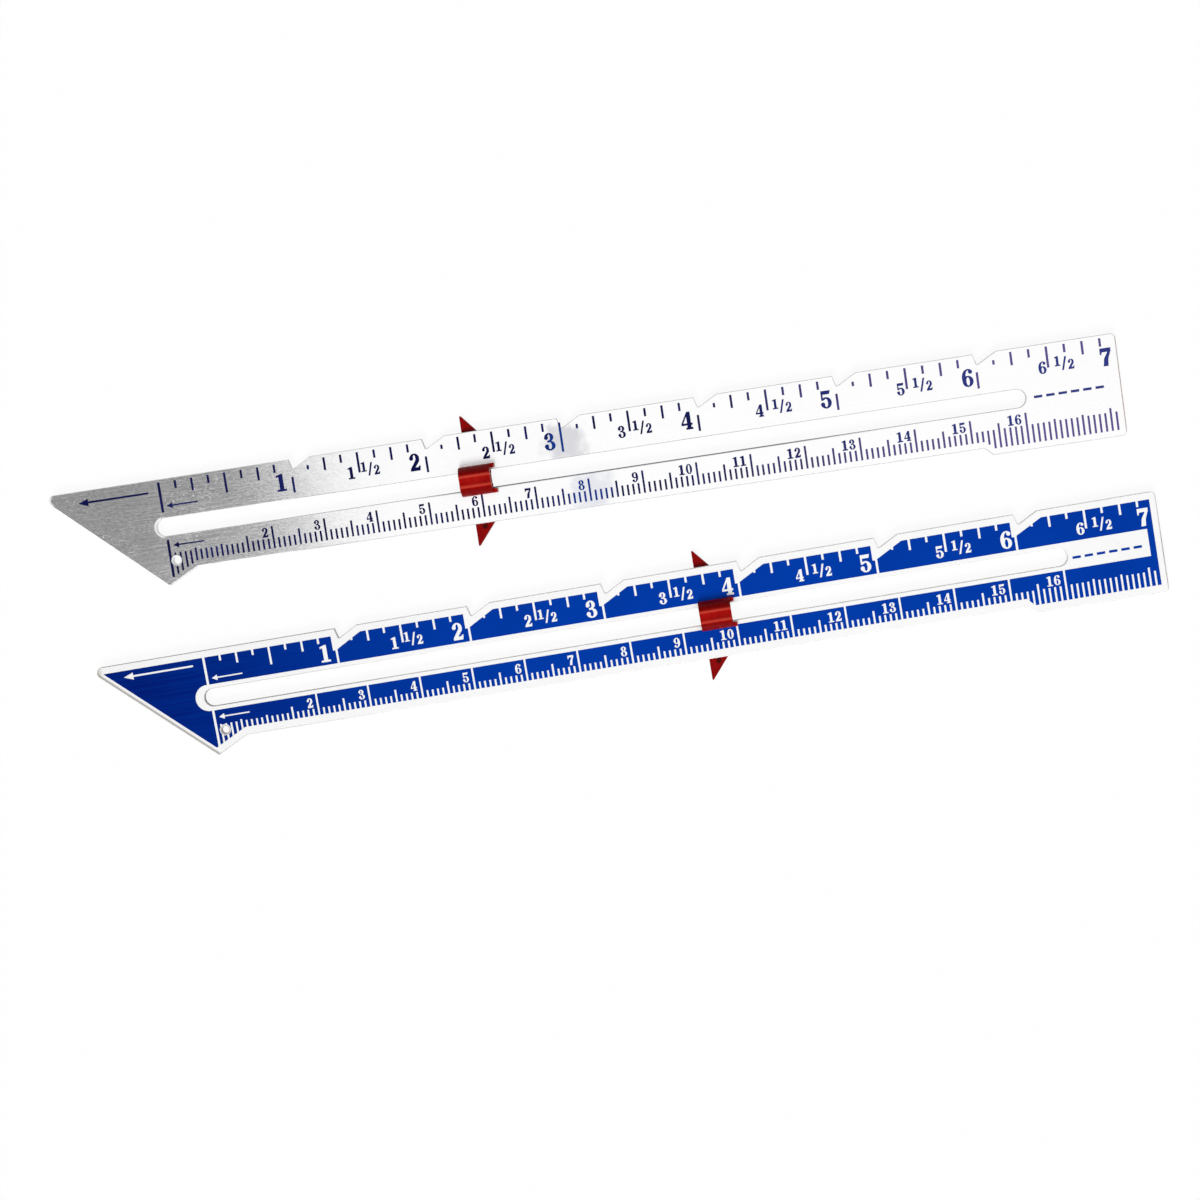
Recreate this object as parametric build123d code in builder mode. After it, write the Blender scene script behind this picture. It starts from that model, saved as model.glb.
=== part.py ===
"""A pair of sliding seam gauges: slotted aluminium blades with a point, each with a red nylon slider.

Millimetres, +Z up. X runs along the blades towards the last inch, Y across them towards the inch edge.
Z is zero at the underside of the slider plates, on which the pair lies.
"""

import os
from math import atan2, cos, radians, sin, tan

from build123d import *

os.makedirs("parts", exist_ok=True)

# The two scales
inch_pitch = 25.4
inch_count = 7
eighths_in_inch = 8
millimetre_pitch = 1.0
millimetres_in_five = 5
millimetres_in_centimetre = 10

# The blade, a stamped sheet, with x from the zero line and y from the middle of the slot
blade_thickness = 1.0
blade_edge_break = 0.12
blade_length = inch_count * inch_pitch
inch_edge = 9.05
metric_edge = 8.05
wide_edge = 9.45
wide_step_length = 1.4
corner_radius = 1.0
point_reach = 22.85
point_radius = 1.1
heel_depth = 11.0
heel_reach = 0.8
heel_run = 5.2
slot_width = 3.3
slot_reach = 1.45
slot_end_wall = 17.0
notch_depth = 1.85
notch_lead = 0.05
notch_wall_run = 0.5
notch_floor = 0.3
notch_ramp_run = 3.45
pivot_hole_radius = 0.7
pivot_rim_radius = 0.98
pivot_rim_depth = 0.2
pivot_hole_place = 1.35
pivot_hole_drop = 6.45

# The slider, one nylon moulding, with x from its reading edge
plate_thickness = 1.0
plate_width = 4.2
pointer_reach = 12.4
pointer_shoulder = 7.43
pointer_tip_radius = 0.15
slide_clearance = 0.1
web_clearance = 0.12
web_thickness = 0.55
web_inset = 0.2
grip_length = 5.85
grip_half_width = 2.75
grip_wall = 1.0
grip_height = 2.9
grip_foot_height = 0.35
grip_ridge_place = 0.95
grip_ridge_radius = 0.3
grip_crown_dip = 0.22
grip_lip_length = 0.7
grip_lip_height = 0.8
grip_lip_width = 0.8
mould_mark_radius = 0.4
mould_mark_depth = 0.15
mould_mark_place = 1.75
mould_mark_drop = 8.65

# The print, a thin coat on the face of each blade, with heights from the middle of the slot
print_thickness = 0.04
overrun = 0.5
zero_line_width = 0.48
inch_line_width = 0.42
metric_line_width = 0.37
line_top = 8.45
zero_line_foot = 2.8
eighth_line_foot = 6.95
quarter_line_foot = 6.05
half_line_foot = 4.65
first_line_top = 7.45
first_line_foot = 6.65
whole_line_top = 5.75
tall_line_number = 3
tall_line_top = 8.2
metric_line_margin = 1.15
zero_line_start = 2.45
centimetre_line_start = 2.75
five_line_start = 3.9
plain_five_start = 4.65
tall_five_line = 175
tall_five_start = 4.2
millimetre_line_start = 4.96
first_metric_number = 2
last_metric_number = 16
metric_end_margin = 1.6
pivot_print_gap = 0.1

# The numbers
inch_number_height = 3.25
inch_number_foot = 3.35
inch_number_leads = (2.2, 2.2, 2.2, 2.2, 2.0, 1.75, 2.45)
half_number_height = 2.25
half_number_foot = 3.65
half_number_leads = (1.55, 1.5, 1.5, 1.5, 1.15, 1.05)
fraction_height = 1.8
fraction_gaps = (0.35, 0.45, 0.6, 0.95, 1.1, 1.15)
fraction_foot = 3.82
fraction_rise = 0.83
slash_height = 2.25
slash_place = 1.2
slash_foot = 3.9
last_figure_place = 2.36
metric_number_height = 1.85
metric_number_foot = 4.7
metric_number_gap = 0.85

# The plain marks: an arrow along the point, one at each zero line, and a row of stitches at the wide end
point_arrow_lead = 7.05
point_arrow_gap = 2.2
point_arrow_height = 6.75
point_arrow_head = 1.9
point_arrow_width = 1.4
point_arrow_shaft = 0.36
zero_arrow_gap = 0.9
zero_arrow_length = 6.0
zero_arrow_height = 3.9
zero_arrow_drop = 3.55
zero_arrow_head = 1.1
zero_arrow_width = 1.1
zero_arrow_shaft = 0.26
stitch_count = 6
stitch_pitch = 2.2
stitch_length = 1.5
stitch_width = 0.45
stitch_row_gap = 1.1
stitch_drop = 0.2

# The blue fields, set in from the edges of the blade
top_border = 1.35
point_border = 1.0
comb_border = 1.5
end_border = 1.25
slot_border = 0.85
slot_end_border = 1.75
window_wall = 1.1
notch_wall_border = 0.9
notch_floor_border = 2.25
notch_ramp_border = 1.63

# Where the pieces lie, with the second gauge turned a little, as two loose gauges are laid down
gauge_spacing = 33.0
gauge_stagger = 3.7
gauge_turn = 1.25
silver_reading = 58.2
blue_reading = 93.6
silver_grip_lead = 1.3
blue_grip_lead = 0.3
silver_print_shift = 0.3
blue_print_shift = -0.3
blue_print_drop = 0.3

# Levels and places worked out from the sizes above
blade_bottom = plate_thickness + slide_clearance
blade_top = blade_bottom + blade_thickness
grip_bottom = blade_top + slide_clearance
slot_end = blade_length - slot_end_wall
step_place = (inch_count - 1) * inch_pitch
point_angle = atan2(inch_edge + heel_depth, point_reach - heel_reach)
point_tip = -point_reach + point_radius / tan(point_angle / 2) - point_radius
pointer_angle = atan2(plate_width, pointer_reach - pointer_shoulder)
pointer_tip = pointer_reach - pointer_tip_radius / tan(pointer_angle / 2) + pointer_tip_radius
turn_along = cos(radians(gauge_turn))
turn_across = sin(radians(gauge_turn))
end_corner_run = (blade_length - corner_radius) * turn_along + (wide_edge - corner_radius) * turn_across
pair_right = gauge_stagger + end_corner_run + corner_radius
pair_bottom = -gauge_spacing - heel_reach * turn_across - heel_depth * turn_along
pair_middle_x = (point_tip + pair_right) / 2
pair_middle_y = (pointer_tip + pair_bottom) / 2
silver_plane = Plane(origin=(-pair_middle_x, -pair_middle_y, 0))
blue_plane = Plane(
    origin=(gauge_stagger - pair_middle_x, -gauge_spacing - pair_middle_y, 0),
    x_dir=(turn_along, turn_across, 0),
)


def outline(points, mode=Mode.ADD):
    """A closed outline with straight sides, in the sketch that is open."""
    return Polygon(*points, align=None, mode=mode)


def box_outline(left, bottom, right, top, mode=Mode.ADD):
    """An upright rectangle between two opposite corners, in the sketch that is open."""
    return outline([(left, bottom), (right, bottom), (right, top), (left, top)], mode)


def blade_points():
    """The corners of the stamped outline, from the point round by the heel and back over the notches."""
    points = [
        (-point_reach, inch_edge),
        (-heel_reach, -heel_depth),
        (heel_run, -metric_edge),
        (step_place, -metric_edge),
        (step_place + wide_step_length, -wide_edge),
        (blade_length, -wide_edge),
        (blade_length, inch_edge),
    ]
    floor = inch_edge - notch_depth
    for number in range(inch_count - 1, 0, -1):
        wall = number * inch_pitch - notch_lead
        floor_start = wall + notch_wall_run
        floor_end = floor_start + notch_floor
        points.append((floor_end + notch_ramp_run, inch_edge))
        points.append((floor_end, floor))
        points.append((floor_start, floor))
        points.append((wall, inch_edge))
    return points


def build_blade(plane):
    """The stamped blade with its slot, its broken edges and the rimmed pivot hole."""
    with BuildPart() as blade:
        with BuildSketch(plane.offset(blade_bottom)) as sheet:
            outline(blade_points())
            by_place = sheet.vertices().sort_by(Axis.X)
            fillet(by_place[0], radius=point_radius)
            fillet(sheet.vertices().sort_by(Axis.X)[-2:], radius=corner_radius)
            with Locations(((slot_end - slot_reach) / 2, 0)):
                SlotOverall(slot_end + slot_reach, slot_width, mode=Mode.SUBTRACT)
        extrude(amount=blade_thickness)
        rims = blade.faces().filter_by(Axis.Z).edges()
        chamfer(rims, length=blade_edge_break)
        hole_place = plane.offset(blade_top)
        with Locations(hole_place * Pos(pivot_hole_place, -pivot_hole_drop, 0)):
            Hole(radius=pivot_hole_radius)
        for level, turn in ((blade_top, 0), (blade_bottom, 180)):
            rim_plane = plane.offset(level) * Pos(pivot_hole_place, -pivot_hole_drop, 0) * Rot(turn, 0, 0)
            with Locations(rim_plane):
                Cone(
                    bottom_radius=pivot_hole_radius,
                    top_radius=pivot_rim_radius,
                    height=pivot_rim_depth,
                    align=(Align.CENTER, Align.CENTER, Align.MAX),
                    mode=Mode.SUBTRACT,
                )
    return blade.part


def build_slider(plane, reading, grip_lead):
    """The moulded slider: a plate with two pointers, two webs through the slot and the arched grip."""
    web_outer = slot_width / 2 - web_clearance
    web_inner = web_outer - web_thickness
    tunnel_radius = grip_half_width - grip_wall
    shoulder_level = grip_bottom + grip_foot_height
    ridge_level = grip_bottom + grip_height
    lip_end = grip_length + grip_lip_length
    grip_start = reading - grip_lead
    facing_along = Rot(0, 90, 90)
    grip_plane = Plane(plane * Pos(grip_start, 0, 0) * facing_along)
    web_plane = Plane(plane * Pos(reading + web_inset, 0, 0) * facing_along)
    with BuildPart() as slider:
        with BuildSketch(plane) as plate:
            tips = [
                (reading, pointer_reach),
                (reading, -pointer_reach),
                (reading + plate_width, -pointer_shoulder),
                (reading + plate_width, pointer_shoulder),
            ]
            outline(tips)
            fillet(plate.vertices().sort_by(Axis.X)[:2], radius=pointer_tip_radius)
        extrude(amount=plate_thickness)
        with BuildSketch(web_plane):
            for side in (-1, 1):
                edges = sorted((side * web_inner, side * web_outer))
                box_outline(edges[0], 0, edges[1], grip_bottom + grip_foot_height)
        extrude(amount=plate_width - 2 * web_inset)
        with BuildSketch(grip_plane) as arch:
            with BuildLine():
                foot = Line((-grip_half_width, grip_bottom), (grip_half_width, grip_bottom))
                right = Line(foot @ 1, (grip_half_width, shoulder_level))
                right_ridge = (grip_ridge_place, ridge_level)
                left_ridge = (-grip_ridge_place, ridge_level)
                TangentArc(right @ 1, right_ridge, tangent=right % 1)
                ThreePointArc(right_ridge, (0, ridge_level - grip_crown_dip), left_ridge)
                left = Line(foot @ 0, (-grip_half_width, shoulder_level))
                TangentArc(left @ 1, left_ridge, tangent=left % 1)
            make_face()
            fillet(arch.vertices().group_by(Axis.Y)[-1], radius=grip_ridge_radius)
        extrude(amount=lip_end)
        with BuildSketch(grip_plane.offset(grip_length)):
            cut_width = grip_half_width + overrun
            cut_top = ridge_level + overrun
            box_outline(-cut_width, grip_bottom + grip_lip_height, cut_width, cut_top)
            lip_inside = grip_half_width - grip_lip_width
            box_outline(-lip_inside, grip_bottom, lip_inside, cut_top)
        extrude(amount=grip_lip_length, mode=Mode.SUBTRACT)
        with BuildSketch(grip_plane.offset(-overrun)):
            with BuildLine():
                Polyline(
                    (-tunnel_radius, shoulder_level),
                    (-web_inner, grip_bottom),
                    (-web_inner, plate_thickness),
                    (web_inner, plate_thickness),
                    (web_inner, grip_bottom),
                    (tunnel_radius, shoulder_level),
                )
                ThreePointArc(
                    (tunnel_radius, shoulder_level),
                    (0, shoulder_level + tunnel_radius),
                    (-tunnel_radius, shoulder_level),
                )
            make_face()
        extrude(amount=lip_end + 2 * overrun, mode=Mode.SUBTRACT)
        mark_plane = plane.offset(plate_thickness)
        with BuildSketch(mark_plane):
            with Locations((reading + mould_mark_place, -mould_mark_drop)):
                Circle(mould_mark_radius)
        extrude(amount=-mould_mark_depth, mode=Mode.SUBTRACT)
    return slider.part


# The numbers: bold upright figures with thick sides, hairline tops and round terminals.
# Each figure is drawn in shares of its height, from its left end and its foot.
figure_width_share = 0.62
side_stroke_share = 0.21
counter_share = 0.06
hairline_share = 0.085
terminal_share = 0.115
figure_gap_share = 0.1
turned_six_shares = (figure_width_share, 1)
figure_shares = {
    "0": (("bowl", (0.31, 0.5, 0.31, 0.5)),),
    "1": (
        ("shape", ((0.17, 0), (0.42, 0), (0.42, 1), (0.3, 1), (0.03, 0.91), (0.03, 0.8), (0.17, 0.83))),
        ("shape", ((0.02, 0), (0.57, 0), (0.57, 0.12), (0.02, 0.12))),
    ),
    "2": (
        ("bowl", (0.31, 0.72, 0.28, 0.28)),
        ("gap", ((-0.05, 0.68), (0.31, 0.68), (0.4, 0.55), (0.65, 0.55), (0.65, 0.4), (-0.05, 0.4))),
        ("shape", ((0.59, 0.68), (0.36, 0.62), (0.02, 0.13), (0.06, 0.03), (0.26, 0.14), (0.57, 0.53))),
        ("shape", ((0.02, 0), (0.57, 0), (0.62, 0.28), (0.53, 0.28), (0.48, 0.2), (0.2, 0.2), (0.02, 0.12))),
        ("terminal", (0.13, 0.73)),
    ),
    "3": (
        ("bowl", (0.29, 0.755, 0.26, 0.245)),
        ("bowl", (0.3, 0.275, 0.31, 0.275)),
        ("gap", ((-0.05, 0.72), (0.25, 0.72), (0.28, 0.6), (0.17, 0.56), (0.17, 0.28), (-0.05, 0.28))),
        ("gap", ((0.16, 0.28), (0.26, 0.28), (0.28, 0.48), (0.16, 0.49))),
        ("shape", ((0.17, 0.47), (0.34, 0.47), (0.34, 0.58), (0.17, 0.58))),
        ("terminal", (0.13, 0.74)),
        ("terminal", (0.12, 0.26)),
    ),
    "4": (
        ("shape", ((0.36, 1), (0.55, 1), (0.55, 0.36), (0.63, 0.36), (0.63, 0.24), (0, 0.24), (0, 0.35))),
        ("gap", ((0.32, 0.36), (0.32, 0.74), (0.11, 0.36))),
        ("shape", ((0.32, 0), (0.55, 0), (0.55, 0.26), (0.32, 0.26))),
        ("shape", ((0.24, 0), (0.64, 0), (0.64, 0.12), (0.24, 0.12))),
    ),
    "5": (
        ("bowl", (0.3, 0.32, 0.31, 0.32)),
        ("gap", ((-0.05, 0.3), (0.25, 0.3), (0.25, 0.5), (0.15, 0.56), (-0.05, 0.62))),
        ("shape", ((0.05, 0.46), (0.15, 0.46), (0.3, 0.54), (0.3, 0.64), (0.05, 0.58))),
        ("shape", ((0.05, 0.46), (0.15, 0.46), (0.15, 1), (0.05, 1))),
        ("shape", ((0.05, 0.79), (0.52, 0.79), (0.59, 1), (0.05, 1))),
        ("terminal", (0.12, 0.25)),
    ),
    "6": (
        ("bowl", (0.36, 0.5, 0.36, 0.5)),
        ("gap", ((0.36, -0.1), (0.8, -0.1), (0.8, 1), (0.56, 1), (0.56, 0.86), (0.52, 0.8), (0.36, 0.88))),
        ("bowl", (0.32, 0.31, 0.3, 0.31)),
        ("terminal", (0.49, 0.83)),
    ),
    "7": (
        ("shape", ((0.02, 0.78), (0.62, 0.78), (0.62, 1), (0.02, 1))),
        ("shape", ((0.02, 0.64), (0.09, 0.64), (0.14, 0.79), (0.02, 0.79))),
        ("shape", ((0.62, 0.84), (0.45, 0.8), (0.22, 0.42), (0.15, 0), (0.41, 0), (0.45, 0.4))),
    ),
    "8": (
        ("bowl", (0.31, 0.76, 0.26, 0.24)),
        ("bowl", (0.31, 0.28, 0.31, 0.28)),
    ),
    "/": (("shape", ((0, -0.04), (0.15, -0.04), (0.45, 1.04), (0.3, 1.04))),),
}


def figure_strokes(figure):
    """The strokes of one figure. A nine is a six turned upside down."""
    if figure != "9":
        return figure_shares[figure]
    turned = []
    width, height = turned_six_shares
    for kind, shares in figure_shares["6"]:
        if kind in ("bowl", "terminal"):
            turned.append((kind, (width - shares[0], height - shares[1]) + tuple(shares[2:])))
        else:
            turned.append((kind, tuple((width - x, height - y) for x, y in shares)))
    return turned


def draw_figure(figure, height):
    """One figure as a sketch, standing on the origin, drawn stroke by stroke."""
    with BuildSketch(mode=Mode.PRIVATE) as sketch:
        for kind, shares in figure_strokes(figure):
            if kind == "bowl":
                across, up, half_width, half_height = (share * height for share in shares)
                counter_width = max(half_width - side_stroke_share * height, counter_share * height)
                counter_height = half_height - hairline_share * height
                with Locations((across, up)):
                    Ellipse(half_width, half_height)
                    Ellipse(counter_width, counter_height, mode=Mode.SUBTRACT)
            elif kind == "terminal":
                with Locations((shares[0] * height, shares[1] * height)):
                    Circle(terminal_share * height)
            else:
                corners = [(x * height, y * height) for x, y in shares]
                outline(corners, Mode.SUBTRACT if kind == "gap" else Mode.ADD)
    return sketch.sketch


def number_figures(text, start, foot, height):
    """The figures of one number as sketches, side by side from a start."""
    step = (figure_width_share + figure_gap_share) * height
    figures = []
    for place, figure in enumerate(text):
        figures.append(Pos(start + place * step, foot) * draw_figure(figure, height))
    return figures


def number_width(text, height):
    """The length of one number from its first figure to its last."""
    return (len(text) * (figure_width_share + figure_gap_share) - figure_gap_share) * height


def inch_number_figures():
    """All the figures of the inch scale: whole inches, and the halves with their fraction."""
    figures = []
    for number, lead in enumerate(inch_number_leads, 1):
        start = number * inch_pitch - lead - number_width("0", inch_number_height) / 2
        figures += number_figures(str(number), start, inch_number_foot, inch_number_height)
    for number, (lead, gap) in enumerate(zip(half_number_leads, fraction_gaps), 1):
        half_place = number * inch_pitch + inch_pitch / 2
        start = half_place - lead - number_width("0", half_number_height) / 2
        figures += number_figures(str(number), start, half_number_foot, half_number_height)
        first_start = half_place + gap
        risen_foot = fraction_foot + fraction_rise
        figures += number_figures("1", first_start, risen_foot, fraction_height)
        figures += number_figures("/", first_start + slash_place, slash_foot, slash_height)
        figures += number_figures("2", first_start + last_figure_place, fraction_foot, fraction_height)
    return figures


def metric_number_figures():
    """All the figures of the metric scale, each number ending just before its line."""
    figures = []
    for number in range(first_metric_number, last_metric_number + 1):
        line_place = number * millimetres_in_centimetre * millimetre_pitch
        start = line_place - metric_number_gap - number_width(str(number), metric_number_height)
        figures += number_figures(str(number), start, -metric_number_foot, metric_number_height)
    return figures


def inch_lines():
    """The place, top, foot and width of each line of the inch scale, with the zero line first."""
    lines = [(0, line_top, zero_line_foot, zero_line_width)]
    feet = {1: eighth_line_foot, 2: quarter_line_foot, 4: half_line_foot}
    for eighth in range(1, inch_count * eighths_in_inch):
        place = eighth * inch_pitch / eighths_in_inch
        number, part_of_inch = divmod(eighth, eighths_in_inch)
        if part_of_inch == 0:
            top = tall_line_top if number == tall_line_number else whole_line_top
            lines.append((place, top, zero_line_foot, inch_line_width))
        elif part_of_inch == 1 and number > 0:
            lines.append((place, first_line_top, first_line_foot, inch_line_width))
        else:
            simplest = 4 if part_of_inch == 4 else 2 if part_of_inch % 2 == 0 else 1
            lines.append((place, line_top, feet[simplest], inch_line_width))
    return lines


def metric_edge_depth(place):
    """How far the metric edge of the blade lies below the slot's middle line at one place."""
    if place < heel_run:
        return metric_edge + (heel_depth - metric_edge) * (heel_run - place) / (heel_run + heel_reach)
    step_share = min(max((place - step_place) / wide_step_length, 0), 1)
    return metric_edge + (wide_edge - metric_edge) * step_share


def metric_line_start(count):
    """How far below the slot's middle line a line of the metric scale starts."""
    if count % millimetres_in_five:
        return millimetre_line_start
    if count == tall_five_line:
        return tall_five_start
    if count <= millimetres_in_centimetre or count > last_metric_number * millimetres_in_centimetre:
        return plain_five_start
    return five_line_start if count % millimetres_in_centimetre else centimetre_line_start


def metric_lines():
    """The place, top, foot and width of each line of the metric scale, with the zero line first."""
    lines = [(0, -zero_line_start, metric_line_margin - metric_edge_depth(0), zero_line_width)]
    last_line = int((blade_length - metric_end_margin) / millimetre_pitch)
    for count in range(1, last_line + 1):
        place = count * millimetre_pitch
        foot = metric_line_margin - metric_edge_depth(place)
        lines.append((place, -metric_line_start(count), foot, metric_line_width))
    return lines


def draw_lines(lines, mode=Mode.ADD):
    """Upright lines of the scales, in the sketch that is open."""
    for width, length in sorted({(line[3], line[1] - line[2]) for line in lines}):
        tops = [line[:2] for line in lines if (line[3], line[1] - line[2]) == (width, length)]
        with Locations(*tops):
            Rectangle(width, length, align=(Align.CENTER, Align.MAX), mode=mode)


def draw_arrow(tip, height, length, head, width, shaft, mode=Mode.ADD):
    """A plain arrow that points along -X, in the sketch that is open."""
    points = [
        (tip, height),
        (tip + head, height - width / 2),
        (tip + head, height - shaft / 2),
        (tip + length, height - shaft / 2),
        (tip + length, height + shaft / 2),
        (tip + head, height + shaft / 2),
        (tip + head, height + width / 2),
    ]
    outline(points, mode)


def draw_point_arrow(mode=Mode.ADD):
    """The long arrow on the point."""
    draw_arrow(
        point_arrow_lead - point_reach,
        point_arrow_height,
        point_reach - point_arrow_lead - point_arrow_gap,
        point_arrow_head,
        point_arrow_width,
        point_arrow_shaft,
        mode,
    )


def draw_zero_arrow(height, mode=Mode.ADD):
    """A short arrow back to a zero line."""
    draw_arrow(
        zero_arrow_gap,
        height,
        zero_arrow_length,
        zero_arrow_head,
        zero_arrow_width,
        zero_arrow_shaft,
        mode,
    )


def draw_stitches():
    """A row of stitches at the wide end."""
    first_start = slot_end + stitch_row_gap
    starts = [(first_start + count * stitch_pitch, -stitch_drop) for count in range(stitch_count)]
    with Locations(*starts):
        Rectangle(stitch_length, stitch_width, align=(Align.MIN, Align.CENTER))


def print_plane(plane, shift, drop=0):
    """The face of a blade, moved by how far its print sits off the stamping."""
    return Plane(plane.offset(blade_top) * Pos(shift, -drop, 0))


def clear_pivot(shift, drop=0):
    """Keeps the print off the rim of the pivot hole, in the sketch that is open."""
    with Locations((pivot_hole_place - shift, drop - pivot_hole_drop)):
        Circle(pivot_rim_radius + pivot_print_gap, mode=Mode.SUBTRACT)


def point_field_points():
    """The corners of the blue field on the point, left of the zero line."""
    rise = tan(point_angle)
    inset = point_border / sin(point_angle)
    slope = (heel_depth - metric_edge) / (heel_run + heel_reach)
    field_top = inch_edge - top_border
    tip = -point_reach + inset + top_border / rise
    drop = inch_edge + heel_depth - comb_border
    corner = (drop - (point_reach - inset) * rise - heel_reach * slope) / (rise + slope)
    corner_height = comb_border - metric_edge_depth(corner)
    zero_height = comb_border - metric_edge_depth(blue_print_shift)
    return [
        (tip, field_top),
        (corner, corner_height),
        (blue_print_shift, zero_height),
        (blue_print_shift, field_top),
    ]


def inch_field_points():
    """The corners of the blue field on the inch side, with the strip beyond the window."""
    field_top = inch_edge - top_border
    field_foot = slot_width / 2 + slot_border
    field_end = blade_length - end_border
    return [
        (blue_print_shift, field_foot),
        (field_end - window_wall, field_foot),
        (field_end - window_wall, -field_foot),
        (field_end, -field_foot),
        (field_end, field_top),
        (blue_print_shift, field_top),
    ]


def metric_field_points():
    """The corners of the blue field on the metric side."""
    field_top = -slot_width / 2 - slot_border
    field_end = blade_length - end_border
    step_end = step_place + wide_step_length
    lower = [blue_print_shift, heel_run, step_place, step_end, field_end]
    points = [(place, comb_border - metric_edge_depth(place)) for place in lower]
    return points + [(field_end, field_top), (blue_print_shift, field_top)]


def notch_field_gap(number):
    """The corners of the bare patch that keeps the blue field clear of one notch."""
    floor_end = number * inch_pitch - notch_lead + notch_wall_run + notch_floor
    slope = notch_depth / notch_ramp_run
    left = number * inch_pitch - notch_lead - notch_wall_border
    foot = inch_edge - notch_depth - notch_floor_border
    ramp_foot = inch_edge - notch_depth - notch_ramp_border
    return [
        (left, inch_edge),
        (left, foot),
        (floor_end + (foot - ramp_foot) / slope, foot),
        (floor_end + (inch_edge - ramp_foot) / slope, inch_edge),
    ]


def save(piece, name):
    """Names one finished piece and writes it."""
    piece.label = name
    export_step(piece, f"parts/{name}.step")


# The stamped blades and the moulded sliders
save(build_blade(silver_plane), "silver_blade")
save(build_blade(blue_plane), "blue_blade")
save(build_slider(silver_plane, silver_reading, silver_grip_lead), "silver_slider")
save(build_slider(blue_plane, blue_reading, blue_grip_lead), "blue_slider")

# The navy print on the bare blade
silver_print_plane = print_plane(silver_plane, silver_print_shift)

with BuildPart() as silver_inch_lines:
    with BuildSketch(silver_print_plane):
        draw_lines(inch_lines())
    extrude(amount=print_thickness)
save(silver_inch_lines.part, "silver_inch_lines")

with BuildPart() as silver_inch_numbers:
    with BuildSketch(silver_print_plane):
        add(inch_number_figures())
    extrude(amount=print_thickness)
save(silver_inch_numbers.part, "silver_inch_numbers")

with BuildPart() as silver_metric_lines:
    with BuildSketch(silver_print_plane):
        draw_lines(metric_lines())
        clear_pivot(silver_print_shift)
    extrude(amount=print_thickness)
save(silver_metric_lines.part, "silver_metric_lines")

with BuildPart() as silver_metric_numbers:
    with BuildSketch(silver_print_plane):
        add(metric_number_figures())
    extrude(amount=print_thickness)
save(silver_metric_numbers.part, "silver_metric_numbers")

with BuildPart() as silver_marks:
    with BuildSketch(silver_print_plane):
        draw_point_arrow()
        draw_zero_arrow(zero_arrow_height)
        draw_zero_arrow(-zero_arrow_drop)
        draw_stitches()
    extrude(amount=print_thickness)
save(silver_marks.part, "silver_marks")

# The blue fields of the other blade, with its lines and figures left bare
blue_face = blue_plane.offset(blade_top)
blue_offset = Pos(blue_print_shift, -blue_print_drop)
blue_print_plane = print_plane(blue_plane, blue_print_shift, blue_print_drop)
open_top = inch_edge + overrun

with BuildPart() as blue_point_print:
    with BuildSketch(blue_face):
        outline(point_field_points())
        bare_length = slot_end + slot_border + slot_reach + slot_end_border
        with Locations((slot_end + slot_border - bare_length / 2, 0)):
            SlotOverall(bare_length, slot_width + 2 * slot_border, mode=Mode.SUBTRACT)
        with Locations(blue_offset):
            draw_lines([(0, open_top, -heel_depth, zero_line_width)], Mode.SUBTRACT)
            draw_point_arrow(Mode.SUBTRACT)
    extrude(amount=print_thickness)
save(blue_point_print.part, "blue_point_print")

with BuildPart() as blue_inch_print:
    with BuildSketch(blue_face):
        outline(inch_field_points())
        for number in range(1, inch_count):
            outline(notch_field_gap(number), Mode.SUBTRACT)
        with Locations(blue_offset):
            bare_lines = []
            for place, top, foot, width in inch_lines():
                foot_reached = 0 if foot == zero_line_foot else foot
                top_reached = whole_line_top if top in (whole_line_top, tall_line_top) else open_top
                bare_lines.append((place, top_reached, foot_reached, width))
            draw_lines(bare_lines, Mode.SUBTRACT)
            add(inch_number_figures(), mode=Mode.SUBTRACT)
            draw_zero_arrow(zero_arrow_height, Mode.SUBTRACT)
    extrude(amount=print_thickness)
save(blue_inch_print.part, "blue_inch_print")

with BuildPart() as blue_metric_print:
    with BuildSketch(blue_face):
        outline(metric_field_points())
        with Locations(blue_offset):
            bare_lines = []
            for place, top, foot, width in metric_lines():
                top_reached = 0 if top >= -centimetre_line_start else top
                bare_lines.append((place, top_reached, -heel_depth - overrun, width))
            draw_lines(bare_lines, Mode.SUBTRACT)
            add(metric_number_figures(), mode=Mode.SUBTRACT)
            draw_zero_arrow(-zero_arrow_drop, Mode.SUBTRACT)
        clear_pivot(0)
    extrude(amount=print_thickness)
save(blue_metric_print.part, "blue_metric_print")

with BuildPart() as blue_stitch_mark:
    with BuildSketch(blue_print_plane):
        draw_stitches()
    extrude(amount=print_thickness)
save(blue_stitch_mark.part, "blue_stitch_mark")
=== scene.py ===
from math import radians

import bpy
from mathutils import Matrix

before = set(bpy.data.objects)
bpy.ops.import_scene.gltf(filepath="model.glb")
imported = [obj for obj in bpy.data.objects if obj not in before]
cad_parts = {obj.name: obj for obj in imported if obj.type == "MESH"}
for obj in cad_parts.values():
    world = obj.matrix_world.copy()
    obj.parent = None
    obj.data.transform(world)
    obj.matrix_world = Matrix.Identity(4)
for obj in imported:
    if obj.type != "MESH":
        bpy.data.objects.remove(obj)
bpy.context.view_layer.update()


# --- The bare blade -----------------------------------------------------------------------------
# A strip of aluminium sheet, brushed along its length and stamped out in one blow, so its sides
# are a matt sheared band under a fine broken edge, both darkened partly as painted shade. Painted
# highlights lie on the broken edges at the point and on two round rims near it, the sheet is
# painted paler away from the point as painted light, and painted shade lies along the slot. Hands
# have left scratches, rubbed clouds and a stained wide end.

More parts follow.
